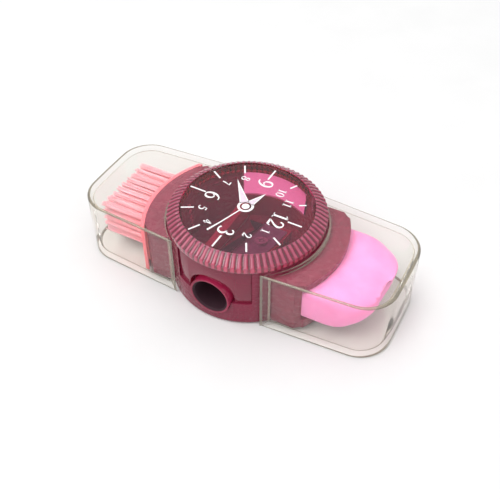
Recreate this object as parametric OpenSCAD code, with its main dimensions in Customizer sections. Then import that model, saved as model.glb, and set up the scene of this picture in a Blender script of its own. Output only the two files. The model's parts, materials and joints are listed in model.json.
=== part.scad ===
// Pocket pencil sharpener shaped like a wristwatch. A round drum holds the sharpener and its shavings
// under a clear tinted lid with a watch dial. A neck on each side carries an eraser and a small brush,
// and a clear cap slides over each of them.
// Origin: drum axis at the base. +X towards the eraser, -Y towards the pencil inlet, +Z up.

/* [Overall] */
// Length over the two clear caps
overall_length = 80; // [74:0.5:100]
// Outside diameter of the drum wall
drum_diameter = 37; // [34:0.5:46]
// Height of the clear caps
cap_height = 16.8; // [16:0.1:24]

/* [Drum] */
// Wall of the drum
drum_wall = 1.5; // [1.2:0.1:2]
// Floor of the drum
floor_thickness = 1.6; // [1.2:0.1:2.2]
// Radius of the drum's bottom edge
base_fillet = 0.6; // [0.3:0.1:1.2]
// How far the drum's rim stands above the caps
rim_rise = 0.3; // [0.2:0.1:4]
// Width of the front and rear notches in the drum wall
notch_width = 19.2; // [16:0.2:22]
// Height of the rear notch's sill
rear_sill = 8.4; // [7:0.1:10]

/* [Necks] */
// Reach of a neck beyond the drum wall
neck_reach = 5.8; // [5:0.1:8]
// Width of a neck
neck_width = 27.2; // [25:0.1:29]
// Radius of a neck's upright corners
neck_corner = 1.2; // [0.6:0.1:2]
// Wall between the drum wall and a neck's socket
socket_back = 1.5; // [1.2:0.1:2.5]
// Side wall of a neck beside its socket
socket_side = 1.05; // [0.9:0.05:1.6]
// Height of the socket's floor
socket_low = 4; // [3.6:0.1:5]
// Height of the socket's ceiling
socket_high = 13.5; // [12:0.1:14]

/* [Lid] */
// How far the bezel stands out past the drum wall
bezel_overhang = 0.35; // [0.2:0.05:0.8]
// Height of the bezel's smooth band
band_height = 1.5; // [1:0.1:2.5]
// Rise of the ribbed slope above the band
slope_rise = 1.85; // [1.2:0.05:3]
// Width of the ribbed slope, measured along a radius
slope_width = 2.35; // [1.8:0.05:3]
// Number of grip ribs around the bezel
rib_count = 80; // [40:1:96]
// Width of a grip rib
rib_width = 0.7; // [0.4:0.05:0.9]
// Height that a rib stands above the slope
rib_height = 0.3; // [0.15:0.05:0.5]
// Thickness of the dial lens
lens_thickness = 1.2; // [0.8:0.1:2]
// How far the lens lies below the bezel's top edge
lens_drop = 0.25; // [0.1:0.05:0.8]
// Wall of the skirt that centres the lid
skirt_wall = 0.85; // [0.6:0.05:1.2]
// Depth that the skirt reaches into the drum
skirt_depth = 1.8; // [1:0.1:3]
// Thickness of the front and rear tongues
tongue_thickness = 1.1; // [0.8:0.1:1.3]
// How far the tongues are set back from the drum's outside
tongue_setback = 0.25; // [0.1:0.05:0.4]
// Gap between the inlet collar and the front tongue
collar_gap = 0.9; // [0.3:0.05:1]

/* [Sharpener] */
// Height of the pencil axis above the base
pencil_axis_height = 7.2; // [6.8:0.1:8]
// Radius of the pencil guide bore
guide_radius = 4.15; // [3.8:0.05:4.3]
// Length of the pencil guide bore
guide_length = 5; // [3:0.1:7]
// Radius of the lead-in at the bore's mouth
mouth_radius = 4.65; // [4.4:0.05:4.7]
// Radius of the inlet collar
collar_radius = 5.05; // [5:0.05:5.3]
// How far the collar stands proud of the drum wall
collar_proud = 0.1; // [0:0.05:0.3]
// Length of the sharpening cone
cone_length = 17; // [15:0.5:19]
// Radius at the tip of the sharpening cone
cone_tip_radius = 0.8; // [0.5:0.05:1.2]
// Block behind the tip of the cone
block_tail = 6; // [3:0.5:7]
// Block to the left of the pencil axis
block_left = 6.6; // [6:0.1:8]
// Block to the right of the pencil axis
block_right = 8.2; // [7:0.1:9]
// Height of the rail beside the chip slot, above the pencil axis
rail_rise = 4.6; // [4.3:0.1:5.5]
// Width of the chip slot beside the cutting edge
chip_slot_width = 4.4; // [3:0.1:5]

/* [Blade] */
// Length of the blade
blade_length = 22; // [18:0.5:24]
// Width of the blade
blade_width = 7.8; // [7:0.1:8.2]
// How far the cutting edge reaches into the cone
edge_bite = 0.1; // [0.05:0.01:0.2]
// Thickness of the blade
blade_thickness = 0.5; // [0.4:0.05:0.8]
// Slant at each end of the blade
blade_slant = 1.4; // [0:0.1:3]
// Width of the ground bevel along the cutting edge
blade_bevel = 1.1; // [0.5:0.1:2]
// Distance from the cutting edge to the screw
screw_offset = 4.1; // [3.9:0.1:5]
// Distance from the blade's front end to the screw
screw_station = 12.5; // [9:0.5:14]
// Radius of the screw's head
screw_head_radius = 1.7; // [1.4:0.1:2]
// Height of the screw's head
screw_head_height = 0.9; // [0.6:0.1:1.2]
// Length of each slot of the cross recess in the screw's head
recess_length = 2.4; // [1.8:0.1:2.6]
// Width of each slot of the cross recess
recess_width = 0.5; // [0.3:0.05:0.7]
// Radius of the screw's shank
screw_shank_radius = 0.95; // [0.8:0.05:1.1]
// Length of the screw's shank
screw_shank_length = 4.5; // [3:0.1:5]

/* [Brush] */
// Thickness of the brush plate outside the neck
plate_thickness = 0.9; // [0.8:0.1:1.8]
// Number of tuft columns across the brush
tuft_columns = 9; // [5:2:11]
// Number of tufts in one column
tufts_per_column = 5; // [2:1:6]
// Distance between tuft columns
column_pitch = 2.05; // [1.5:0.05:2.2]
// Plate left above the top tuft and below the bottom one
tuft_margin = 0.2; // [0.1:0.05:0.6]
// Radius of one tuft
tuft_radius = 0.45; // [0.3:0.05:0.55]
// Depth that a tuft is set into the plate
tuft_root = 3.4; // [2:0.1:4.5]

/* [Eraser] */
// Radius of the eraser's rounded outer corners
eraser_corner = 9.5; // [6:0.5:11]
// Radius of the curve under the eraser's outer end
eraser_belly = 9; // [6:0.5:12]
// Flat length under the eraser, measured from the neck
eraser_flat = 3; // [0:0.1:4]

/* [Caps] */
// Wall of the clear caps
cap_wall = 1.2; // [0.8:0.1:1.4]
// Cap width at the mouth, across the drum
cap_mouth_width = 31; // [30.6:0.1:33]
// Slope of each cap side towards the closed end
cap_taper = 0.065; // [0:0.005:0.08]
// Radius of the cap's outer corners
cap_corner = 7.5; // [4:0.5:10]
// Clear space from the drum wall to the cap's curved mouth
mouth_gap = 0.7; // [0.5:0.05:1]
// Clear space between the contents and the closed end of a cap
end_gap = 2.5; // [1:0.1:4]

/* [Fits] */
// Clearance between fixed pieces that fit together
fit_gap = 0.1; // [0.05:0.01:0.2]
// Clearance between the lid and what it slides into
lid_gap = 0.15; // [0.1:0.01:0.3]
// Clearance between a neck and its cap, above and below
neck_gap = 0.2; // [0.15:0.01:0.4]

/* [Hidden] */

$fn = 96;
EPS = 0.01;

burgundy = "#7a3a4a";
tinted = [0.80, 0.25, 0.42, 0.55];
salmon = "#ff9aa6";
eraser_pink = "#ff8cc4";
clear = [0.93, 0.91, 0.87, 0.3];
steel = "silver";

drum_r = drum_diameter / 2;
drum_height = cap_height + rim_rise;
bore_r = drum_r - drum_wall;
neck_r = drum_r + neck_reach;
neck_low = cap_wall + neck_gap;
neck_high = cap_height - cap_wall - neck_gap;
socket_r = drum_r + socket_back;
socket_width = neck_width - 2 * socket_side;
cap_end = overall_length / 2;
contents_end = cap_end - cap_wall - end_gap;
mouth_r = drum_r + mouth_gap;
cap_mouth_x = sqrt(mouth_r * mouth_r - cap_mouth_width * cap_mouth_width / 4);

bezel_r = drum_r + bezel_overhang;
band_top = drum_height + band_height;
bezel_top = band_top + slope_rise;
slope_r = bezel_r - rib_height;
crest_r = slope_r - slope_width;
lens_r = crest_r - 0.5;
lens_top = bezel_top - lens_drop;
skirt_r = bore_r - lid_gap;
tongue_r = drum_r - tongue_setback;
tongue_width = notch_width - 2 * lid_gap;
front_sill = pencil_axis_height - 0.35;

collar_front = drum_r + collar_proud;
guide_end = collar_front - guide_length;
cone_tilt = atan((guide_radius - cone_tip_radius) / cone_length);
block_back = cone_length + block_tail - guide_end;
blade_front = 0.8;

plate_r = neck_r + plate_thickness;
plug_low = socket_low + fit_gap;
plug_high = socket_high - fit_gap;
plug_width = socket_width - 2 * fit_gap;
lowest_tuft = plug_low + tuft_margin + tuft_radius;
highest_tuft = plug_high - tuft_margin - tuft_radius;
tuft_pitch = (highest_tuft - lowest_tuft) / (tufts_per_column - 1);
tuft_start_r = plate_r - tuft_root;
tuft_fn = 24;

eraser_low = plug_low;
eraser_high = plug_high;

// ---- shared shapes ----

// Slab between two radii of the drum axis, cut to a width, on the +X side
module band_sector(r_in, r_out, width, low, high) {
    translate([0, 0, low])
        linear_extrude(high - low)
            intersection() {
                difference() {
                    circle(r_out);
                    circle(r_in);
                }
                translate([0, -width / 2])
                    square([r_out + 1, width]);
            }
}

// Small square with a round cut, taken away from a corner at the origin that points to +X +Y
module corner_cut(r) {
    difference() {
        translate([-r, -r])
            square(2 * r);
        translate([-r, -r])
            circle(r);
        translate([-2 * r, -r])
            square([r, 2 * r]);
        translate([-r, -2 * r])
            square([2 * r, r]);
    }
}

// Outline of a cap on the +X side, inset by a wall
module cap_outline(inset) {
    tilt = atan(cap_taper);
    half = cap_mouth_width / 2 - inset / cos(tilt);
    end_x = cap_end - inset;
    end_y = half - cap_taper * (end_x - cap_mouth_x);
    start_x = cap_mouth_x / 2;
    start_y = half + cap_taper * (cap_mouth_x - start_x);
    difference() {
        polygon([
            [start_x, start_y],
            [end_x, end_y],
            [end_x, -end_y],
            [start_x, -start_y]
        ]);
        for (side = [0, 1])
            mirror([0, side])
                cap_corner_cut(cap_corner - inset, end_x, end_y, tilt);
    }
}

// What a cap's rounded corner takes away from its outline
module cap_corner_cut(r, end_x, end_y, tilt) {
    cx = end_x - r;
    cy = end_y + r * tan(tilt) - r / cos(tilt);
    outside = r + 1;
    difference() {
        polygon([
            [cx, cy],
            [cx + outside * sin(tilt), cy + outside * cos(tilt)],
            [end_x + 1, cy + outside],
            [end_x + 1, cy]
        ]);
        translate([cx, cy])
            circle(r);
    }
}

// Places children on the blade's seat: origin where the cone starts, +Y down the slope, +Z out of the seat
module on_seat() {
    translate([0, -guide_end, pencil_axis_height + guide_radius - edge_bite])
        rotate([-cone_tilt, 0, 0])
            children();
}

// ---- housing ----

module drum() {
    rotate_extrude()
        difference() {
            polygon([
                [0, 0],
                [drum_r - base_fillet, 0],
                [drum_r, base_fillet],
                [drum_r, drum_height],
                [bore_r, drum_height],
                [bore_r, floor_thickness],
                [0, floor_thickness]
            ]);
        }
}

module neck() {
    corner_x = sqrt(neck_r * neck_r - neck_width * neck_width / 4);
    difference() {
        band_sector(bore_r + drum_wall / 2, neck_r, neck_width, neck_low, neck_high);
        band_sector(socket_r, neck_r + 1, socket_width, socket_low, socket_high);
        for (side = [-1, 1])
            translate([corner_x, side * neck_width / 2, neck_low - 1])
                linear_extrude(neck_high - neck_low + 2)
                    neck_edge(side);
    }
}

// Bevel along a neck's upright outer edge
module neck_edge(side) {
    polygon([
        [-neck_corner, side],
        [-neck_corner, 0],
        [neck_corner * 0.3, -side * neck_corner],
        [neck_corner + 1, -side * neck_corner],
        [neck_corner + 1, side]
    ]);
}

// Low rails on the floor that hold the sharpener block in place
module block_rails() {
    for (x = [-block_left - fit_gap - 1, block_right + fit_gap])
        translate([x, -6, floor_thickness - EPS])
            cube([1, 12, 1.4]);
}

module housing() {
    color(burgundy)
        difference() {
            union() {
                drum();
                neck();
                mirror([1, 0, 0])
                    neck();
                block_rails();
            }
            // front notch, down to the floor for the inlet sill, and rear notch for the lid's tongue
            translate([-notch_width / 2, -drum_r - 1, floor_thickness])
                cube([notch_width, drum_r - bore_r * 0.5, drum_height]);
            translate([-notch_width / 2, bore_r * 0.5, rear_sill])
                cube([notch_width, drum_r, drum_height]);
        }
}

// Low front wall under the lid's tongue, with a half-round saddle for the inlet collar
module inlet_sill() {
    color(burgundy)
        difference() {
            rotate([0, 0, -90])
                band_sector(bore_r, drum_r, notch_width, floor_thickness, front_sill);
            translate([0, -bore_r / 2, pencil_axis_height])
                rotate([90, 0, 0])
                    cylinder(r = collar_radius + fit_gap, h = drum_r);
        }
}

// ---- lid ----

module bezel_and_lens() {
    rotate_extrude()
        polygon([
            [0, lens_top - lens_thickness],
            [skirt_r - skirt_wall, lens_top - lens_thickness],
            [skirt_r - skirt_wall, drum_height - skirt_depth],
            [skirt_r, drum_height - skirt_depth],
            [skirt_r, drum_height + fit_gap],
            [bezel_r, drum_height + fit_gap],
            [bezel_r, band_top],
            [slope_r, band_top],
            [crest_r, bezel_top - rib_height / 2],
            [crest_r - 0.2, bezel_top],
            [lens_r + 0.1, bezel_top],
            [lens_r, lens_top],
            [0, lens_top]
        ]);
}

module grip_rib() {
    rotate([90, 0, 0])
        linear_extrude(rib_width, center = true)
            polygon([
                [crest_r - 0.2, bezel_top - 2 * rib_height],
                [crest_r + 0.1, bezel_top],
                [bezel_r - rib_height, band_top + 2 * rib_height],
                [bezel_r, band_top + rib_height],
                [bezel_r, band_top - rib_height],
                [slope_r - 1, band_top - rib_height]
            ]);
}

module tongue(sill) {
    rotate([0, 0, 90])
        band_sector(tongue_r - tongue_thickness, tongue_r, tongue_width, sill, drum_height + fit_gap + EPS);
}

// Room between a tongue and the lens, where the skirt is left out
module skirt_break() {
    rotate([0, 0, 90])
        band_sector(skirt_r - skirt_wall - 1, tongue_r - tongue_thickness, tongue_width,
            drum_height - skirt_depth - 1, drum_height + fit_gap);
}

module lid() {
    color(tinted)
        union() {
            difference() {
                bezel_and_lens();
                skirt_break();
                mirror([0, 1, 0])
                    skirt_break();
            }
            for (i = [0:rib_count - 1])
                rotate([0, 0, i * 360 / rib_count])
                    grip_rib();
            tongue(rear_sill + lid_gap);
            difference() {
                mirror([0, 1, 0])
                    tongue(front_sill + lid_gap);
                translate([0, 0, pencil_axis_height])
                    rotate([90, 0, 0])
                        cylinder(r = collar_radius + collar_gap, h = drum_r + 1);
            }
        }
}

// ---- sharpener ----

// Lead-in, guide, cone and tip hole as one turned shape along the pencil axis
module pencil_bore() {
    lead_in = mouth_radius - guide_radius;
    translate([0, 0, pencil_axis_height])
        rotate([-90, 0, 0])
            rotate_extrude()
                polygon([
                    [0, -collar_front - 1],
                    [mouth_radius, -collar_front - 1],
                    [mouth_radius, -collar_front],
                    [guide_radius, -collar_front + lead_in],
                    [guide_radius, -guide_end],
                    [cone_tip_radius, cone_length - guide_end],
                    [cone_tip_radius, block_back + 1],
                    [0, block_back + 1]
                ]);
}

module sharpener_block() {
    block_high = pencil_axis_height + rail_rise;
    color(burgundy)
        difference() {
            union() {
                translate([-block_left, -guide_end, floor_thickness])
                    cube([block_left + block_right, guide_end + block_back, block_high - floor_thickness]);
                translate([0, -guide_end + EPS, pencil_axis_height])
                    rotate([90, 0, 0])
                        cylinder(r = collar_radius, h = collar_front - guide_end);
            }
            pencil_bore();
            // seat for the blade, down to the cone's top line
            on_seat()
                translate([-0.2, -2, 0])
                    cube([block_right + 1, 40, 20]);
            // chip slot beside the cutting edge, open to the cone
            on_seat()
                translate([-0.2 - chip_slot_width, 0.6, -3.2])
                    cube([chip_slot_width + EPS, blade_length + 1, 20]);
            // pilot hole for the blade screw
            on_seat()
                translate([screw_offset - 0.2, blade_front + screw_station, -screw_shank_length - 0.5])
                    cylinder(r = screw_shank_radius + 0.05, h = screw_shank_length + 1);
        }
}

module blade() {
    color(steel)
        on_seat()
            translate([-0.2, blade_front, 0])
                difference() {
                    linear_extrude(blade_thickness)
                        polygon([
                            [0, 0],
                            [blade_width, blade_slant],
                            [blade_width, blade_length - blade_slant],
                            [0, blade_length]
                        ]);
                    translate([screw_offset, screw_station, -1])
                        cylinder(r = screw_shank_radius + 0.3, h = blade_thickness + 2);
                    // ground bevel of the cutting edge
                    translate([0, -1, 0])
                        rotate([0, -atan(blade_thickness * 0.8 / blade_bevel), 0])
                            translate([-blade_bevel, 0, blade_thickness * 0.2])
                                cube([blade_bevel * 2.2, blade_length + 2, blade_thickness * 2]);
                }
}

module blade_screw() {
    color(steel)
        on_seat()
            translate([screw_offset - 0.2, blade_front + screw_station, blade_thickness])
                difference() {
                    union() {
                        cylinder(r = screw_head_radius, h = screw_head_height);
                        translate([0, 0, -screw_shank_length])
                            cylinder(r = screw_shank_radius, h = screw_shank_length + EPS);
                    }
                    for (turn = [0, 90])
                        rotate([0, 0, turn])
                            translate([-recess_length / 2, -recess_width / 2, screw_head_height * 0.4])
                                cube([recess_length, recess_width, screw_head_height]);
                }
}

// ---- brush ----

function column_y(i) = (i - (tuft_columns + 1) / 2) * column_pitch;
function tuft_z(k) = lowest_tuft + k * tuft_pitch;
function root_x(y) = sqrt(tuft_start_r * tuft_start_r - y * y);

// The tufts of one column, each running out along -X from its root in the plate
module tufts(i, radius, reach) {
    y = column_y(i);
    for (k = [0:tufts_per_column - 1])
        translate([-root_x(y), y, tuft_z(k)])
            rotate([0, -90, 0])
                cylinder(r = radius, h = reach - root_x(y), $fn = tuft_fn);
}

module brush_plate() {
    color(salmon)
        difference() {
            mirror([1, 0, 0])
                union() {
                    band_sector(neck_r + fit_gap / 2, plate_r, neck_width - 0.4, neck_low, neck_high);
                    band_sector(socket_r + fit_gap, neck_r + plate_thickness / 2, plug_width,
                        plug_low, plug_high);
                }
            for (i = [1:tuft_columns])
                tufts(i, tuft_radius + fit_gap / 2, plate_r + 1);
        }
}

module tuft_column(i) {
    color(salmon)
        tufts(i, tuft_radius, contents_end);
}

// ---- eraser ----

module eraser_side() {
    flat_end = neck_r + eraser_flat;
    difference() {
        translate([0, eraser_low])
            square([contents_end, eraser_high - eraser_low]);
        // rounded underside of the outer end
        translate([contents_end, eraser_low])
            mirror([0, 1])
                corner_cut(min(eraser_belly, contents_end - flat_end));
    }
}

module eraser() {
    half = plug_width / 2;
    color(eraser_pink)
        intersection() {
            translate([0, 0, eraser_low])
                linear_extrude(eraser_high - eraser_low)
                    difference() {
                        translate([0, -half])
                            square([contents_end, 2 * half]);
                        circle(socket_r + fit_gap);
                        for (side = [0, 1])
                            mirror([0, side])
                                translate([contents_end, half])
                                    corner_cut(eraser_corner);
                    }
            translate([0, half + 1, 0])
                rotate([90, 0, 0])
                    linear_extrude(2 * half + 2)
                        eraser_side();
        }
}

// ---- caps ----

module cap() {
    difference() {
        linear_extrude(cap_height)
            cap_outline(0);
        translate([0, 0, cap_wall])
            linear_extrude(cap_height - 2 * cap_wall)
                cap_outline(cap_wall);
        translate([0, 0, -1])
            cylinder(r = mouth_r, h = cap_height + 2);
    }
}

module right_cap() {
    color(clear)
        cap();
}

module left_cap() {
    color(clear)
        mirror([1, 0, 0])
            cap();
}

housing();
inlet_sill();
lid();
sharpener_block();
blade();
blade_screw();
brush_plate();
for (i = [1:tuft_columns])
    tuft_column(i);
eraser();
left_cap();
right_cap();
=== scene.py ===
import json
import math

import bmesh
import bpy
import numpy as np
from mathutils import Matrix, Vector


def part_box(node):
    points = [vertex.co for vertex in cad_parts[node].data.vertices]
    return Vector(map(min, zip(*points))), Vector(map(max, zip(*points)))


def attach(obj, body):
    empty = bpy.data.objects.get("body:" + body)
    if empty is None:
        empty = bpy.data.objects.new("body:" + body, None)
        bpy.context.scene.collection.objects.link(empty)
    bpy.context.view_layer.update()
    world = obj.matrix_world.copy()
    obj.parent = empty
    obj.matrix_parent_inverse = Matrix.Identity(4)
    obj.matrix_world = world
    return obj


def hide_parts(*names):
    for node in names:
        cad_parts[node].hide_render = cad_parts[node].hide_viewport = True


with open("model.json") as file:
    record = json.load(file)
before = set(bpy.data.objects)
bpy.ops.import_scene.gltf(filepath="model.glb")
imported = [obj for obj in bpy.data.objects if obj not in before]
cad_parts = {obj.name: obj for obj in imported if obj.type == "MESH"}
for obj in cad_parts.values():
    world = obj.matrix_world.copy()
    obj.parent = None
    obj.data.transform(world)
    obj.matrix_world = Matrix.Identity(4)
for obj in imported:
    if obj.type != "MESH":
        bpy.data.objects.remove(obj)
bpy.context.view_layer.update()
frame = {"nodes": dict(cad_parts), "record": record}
MM = 0.001

# ---- camera ----

CAMERA_TURN = math.radians(28.39)  # round the Z axis, from straight in front
CAMERA_RISE = math.radians(44.92)  # above the floor
CAMERA_ROLL = math.radians(-0.34)
CAMERA_DISTANCE = 192.7 * MM
CAMERA_TARGET = Vector((-2.34, 5.43, 0)) * MM
SENSOR_WIDTH = 36
FOCAL_LENGTH = 54.16


def add_camera():
    back = Vector((math.sin(CAMERA_TURN) * math.cos(CAMERA_RISE),
                   -math.cos(CAMERA_TURN) * math.cos(CAMERA_RISE),
                   math.sin(CAMERA_RISE)))
    level = Vector((math.cos(CAMERA_TURN), math.sin(CAMERA_TURN), 0))
    upright = back.cross(level)
    right = math.cos(CAMERA_ROLL) * level + math.sin(CAMERA_ROLL) * upright
    up = -math.sin(CAMERA_ROLL) * level + math.cos(CAMERA_ROLL) * upright
    data = bpy.data.cameras.new("camera")
    data.sensor_width = SENSOR_WIDTH
    data.lens = FOCAL_LENGTH
    data.clip_start = 0.01
    data.clip_end = 20
    camera = bpy.data.objects.new("camera", data)
    place = Matrix((right, up, back)).transposed().to_4x4()
    place.translation = CAMERA_TARGET + back * CAMERA_DISTANCE
    camera.matrix_world = place
    bpy.context.scene.collection.objects.link(camera)
    bpy.context.scene.camera = camera


add_camera()

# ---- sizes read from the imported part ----

lid_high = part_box("lid")[1]
BEZEL_R = lid_high.x
BEZEL_TOP = lid_high.z
body_low, body_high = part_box("housing")
RIM = body_high.z  # top edge of the drum wall
DRUM_R = -body_low.y
rubber_low, rubber_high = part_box("eraser")
plate_low, plate_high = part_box("brush_plate")
tuft_low, tuft_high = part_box("tuft_column_1")
LENS_TOP = BEZEL_TOP - 0.25 * MM
inlet = next(mount for mount in frame["record"]["mounts"] if mount["name"] == "pencil_inlet")
AXIS_Z = inlet["pos_m"][2]  # height of the pencil's axis

RIB_COUNT = 80  # grip ribs round the bezel
BORE_FADE = (4.5 * MM, 4.68 * MM)  # radii between which painted shade and graphite dust in the lead-in fade out
GAP_SHADE_FADE = (0.20, 0.36)  # share of a rib's step between which its crest gives way to the gap, where shade is painted

# ---- materials ----


def blank_material(name):
    mat = bpy.data.materials.new(name)
    mat.use_nodes = True
    nodes, links = mat.node_tree.nodes, mat.node_tree.links
    return mat, nodes, links, nodes["Principled BSDF"]


def noise(nodes, links, scale, detail=4.0, stretch=(1, 1, 1), rough=0.55):
    """Noise on Object coordinates, stretched along an axis for flow lines and brushing."""
    place = nodes.new("ShaderNodeTexCoord")
    turn = nodes.new("ShaderNodeMapping")
    turn.inputs["Scale"].default_value = stretch
    tex = nodes.new("ShaderNodeTexNoise")
    tex.inputs["Scale"].default_value = scale
    tex.inputs["Detail"].default_value = detail
    tex.inputs["Roughness"].default_value = rough
    links.new(place.outputs["Object"], turn.inputs["Vector"])
    links.new(turn.outputs["Vector"], tex.inputs["Vector"])
    return tex


def ramp(nodes, links, source, low, high, first, second):
    """Colour that runs from first to second while source goes from low to high."""
    band = nodes.new("ShaderNodeValToRGB")
    band.color_ramp.elements[0].position = low
    band.color_ramp.elements[1].position = high
    band.color_ramp.elements[0].color = (*first, 1)
    band.color_ramp.elements[1].color = (*second, 1)
    links.new(source, band.inputs["Fac"])
    return band.outputs["Color"]


def spread(nodes, links, source, low, high, first, second):
    """Number that runs from first to second while source goes from low to high."""
    part = nodes.new("ShaderNodeMapRange")
    part.inputs["From Min"].default_value = low
    part.inputs["From Max"].default_value = high
    part.inputs["To Min"].default_value = first
    part.inputs["To Max"].default_value = second
    links.new(source, part.inputs["Value"])
    return part.outputs["Result"]


def tinge(nodes, links, share, first, second):
    """Colour that runs from first, a socket, to second, a plain colour, as share goes from none to one."""
    mix = nodes.new("ShaderNodeMix")
    mix.data_type = "RGBA"
    links.new(share, mix.inputs["Factor"])
    links.new(first, mix.inputs["A"])
    mix.inputs["B"].default_value = (*second, 1)
    return mix.outputs["Result"]


def soften(shader, weight, radius, scale):
    """Lets light scatter under the skin."""
    shader.inputs["Subsurface Weight"].default_value = weight
    shader.inputs["Subsurface Radius"].default_value = radius
    shader.inputs["Subsurface Scale"].default_value = scale


def add_bump(nodes, links, shader, heights, strengths, depth=0.02 * MM):
    """Chains one bump node for each height source into the shader's normal."""
    last = None
    for height, strength in zip(heights, strengths):
        bump = nodes.new("ShaderNodeBump")
        bump.inputs["Strength"].default_value = strength
        bump.inputs["Distance"].default_value = depth
        links.new(height, bump.inputs["Height"])
        if last is not None:
            links.new(last, bump.inputs["Normal"])
        last = bump.outputs["Normal"]
    links.new(last, shader.inputs["Normal"])


def near_pencil(nodes, links):
    """One inside the pencil's bore and cone, fading to none at the lead-in's outer edge."""
    place = nodes.new("ShaderNodeTexCoord")
    lift = nodes.new("ShaderNodeMapping")
    lift.inputs["Location"].default_value = (0, 0, -AXIS_Z)
    lift.inputs["Scale"].default_value = (1, 0, 1)
    away = nodes.new("ShaderNodeVectorMath")
    away.operation = "LENGTH"
    links.new(place.outputs["Object"], lift.inputs["Vector"])
    links.new(lift.outputs["Vector"], away.inputs[0])
    return spread(nodes, links, away.outputs["Value"], *BORE_FADE, 1.0, 0.0)


def moulded_plastic(name, dark, light, rough=(0.2, 0.34), glow=0.0, graphite=None):
    """Solid moulded plastic: faint flow lines, cloudy colour, fine pebbling and handling marks."""
    mat, nodes, links, shader = blank_material(name)
    flow = noise(nodes, links, 130, 3, (1, 1, 0.35))
    grain = noise(nodes, links, 2600, 3)
    wear = noise(nodes, links, 420, 6, (1, 1, 1.6), 0.7)
    colour = ramp(nodes, links, flow.outputs["Fac"], 0.35, 0.68, dark, light)
    dullness = spread(nodes, links, wear.outputs["Fac"], 0.35, 0.7, *rough)
    # graphite paints the bore and its cone near black: painted shade inside the bore, together with graphite
    # dust
    if graphite:
        bore_shade_and_dust = near_pencil(nodes, links)
        colour = tinge(nodes, links, bore_shade_and_dust, colour, graphite)
        powder = nodes.new("ShaderNodeMath")
        powder.operation = "MAXIMUM"
        links.new(dullness, powder.inputs[0])
        links.new(spread(nodes, links, bore_shade_and_dust, 0.0, 1.0, 0.0, 0.75), powder.inputs[1])
        dullness = powder.outputs[0]
    links.new(colour, shader.inputs["Base Color"])
    links.new(dullness, shader.inputs["Roughness"])
    shader.inputs["IOR"].default_value = 1.46
    if glow:
        soften(shader, glow, (1.0, 0.3, 0.4), 0.8 * MM)
    add_bump(nodes, links, shader, [grain.outputs["Fac"], wear.outputs["Fac"]], [0.06, 0.12])
    return mat


def let_lamps_through(nodes, links, shader, share):
    """Lets lamp light straight through a clear wall, so that what it covers is lit."""
    ray = nodes.new("ShaderNodeLightPath")
    gap = nodes.new("ShaderNodeBsdfTransparent")
    gap.inputs["Color"].default_value = (share, share, share, 1)
    choice = nodes.new("ShaderNodeMixShader")
    links.new(ray.outputs["Is Shadow Ray"], choice.inputs[0])
    links.new(shader.outputs[0], choice.inputs[1])
    links.new(gap.outputs[0], choice.inputs[2])
    links.new(choice.outputs[0], nodes["Material Output"].inputs["Surface"])


def rib_shade(nodes, links):
    """One on the crest of each grip rib and none in the gap between two; the mask for the shade painted into
    the gaps.
    """
    place = nodes.new("ShaderNodeTexCoord")
    flat = nodes.new("ShaderNodeSeparateXYZ")
    links.new(place.outputs["Object"], flat.inputs["Vector"])
    steps = [("ARCTAN2", flat.outputs["Y"], flat.outputs["X"]),
             ("MULTIPLY", None, RIB_COUNT / (2 * math.pi)),
             ("PINGPONG", None, 0.5)]
    value = None
    for operation, first, second in steps:
        node = nodes.new("ShaderNodeMath")
        node.operation = operation
        links.new(first or value, node.inputs[0])
        if isinstance(second, float):
            node.inputs[1].default_value = second
        else:
            links.new(second, node.inputs[1])
        value = node.outputs[0]
    return spread(nodes, links, value, *GAP_SHADE_FADE, 1.0, 0.0)


def see_through_plastic(name, body, density, tint=(1, 1, 1), rough=(0.0, 0.05), scratch=0.05,
                        clear=1.0, ior=1.49, gloss=0.0, painted_gap_shade=None):
    """Clear moulded plastic: coloured through its thickness, with hairline scratches and slight ripple.

    body and density colour the thickness, tint colours the surface, and painted_gap_shade paints shade into
    the gaps between ribs."""
    mat, nodes, links, shader = blank_material(name)
    ripple = noise(nodes, links, 90, 2)
    hairlines = noise(nodes, links, 900, 5, (1, 0.06, 1), 0.65)
    crossed = noise(nodes, links, 700, 5, (0.08, 1, 1), 0.65)
    shader.inputs["Base Color"].default_value = (*tint, 1)
    # the gaps between ribs take a darker colour: painted shade
    if painted_gap_shade:
        crest = rib_shade(nodes, links)
        links.new(ramp(nodes, links, crest, 0.0, 1.0, painted_gap_shade, tint), shader.inputs["Base Color"])
    shader.inputs["Transmission Weight"].default_value = clear
    shader.inputs["IOR"].default_value = ior
    shader.inputs["Coat Weight"].default_value = gloss
    shader.inputs["Coat Roughness"].default_value = 0.02
    dullness = spread(nodes, links, hairlines.outputs["Fac"], 0.52, 0.74, *rough)
    links.new(dullness, shader.inputs["Roughness"])
    add_bump(nodes, links, shader,
             [ripple.outputs["Fac"], hairlines.outputs["Fac"], crossed.outputs["Fac"]],
             [0.25, scratch, scratch], 0.01 * MM)
    soak = nodes.new("ShaderNodeVolumeAbsorption")
    soak.inputs["Color"].default_value = (*body, 1)
    soak.inputs["Density"].default_value = density
    links.new(soak.outputs["Volume"], nodes["Material Output"].inputs["Volume"])
    let_lamps_through(nodes, links, shader, 0.9)
    return mat


def brushed_steel(name, base, rough, direction):
    """Ground and rolled steel: fine brushing along one direction and faint oil staining."""
    mat, nodes, links, shader = blank_material(name)
    lines = noise(nodes, links, 1500, 5, direction, 0.7)
    stain = noise(nodes, links, 260, 4)
    oiled = tuple(0.72 * c for c in base)
    links.new(ramp(nodes, links, stain.outputs["Fac"], 0.3, 0.62, oiled, base), shader.inputs["Base Color"])
    links.new(spread(nodes, links, lines.outputs["Fac"], 0.3, 0.7, *rough), shader.inputs["Roughness"])
    shader.inputs["Metallic"].default_value = 1.0
    add_bump(nodes, links, shader, [lines.outputs["Fac"]], [0.25])
    return mat


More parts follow.
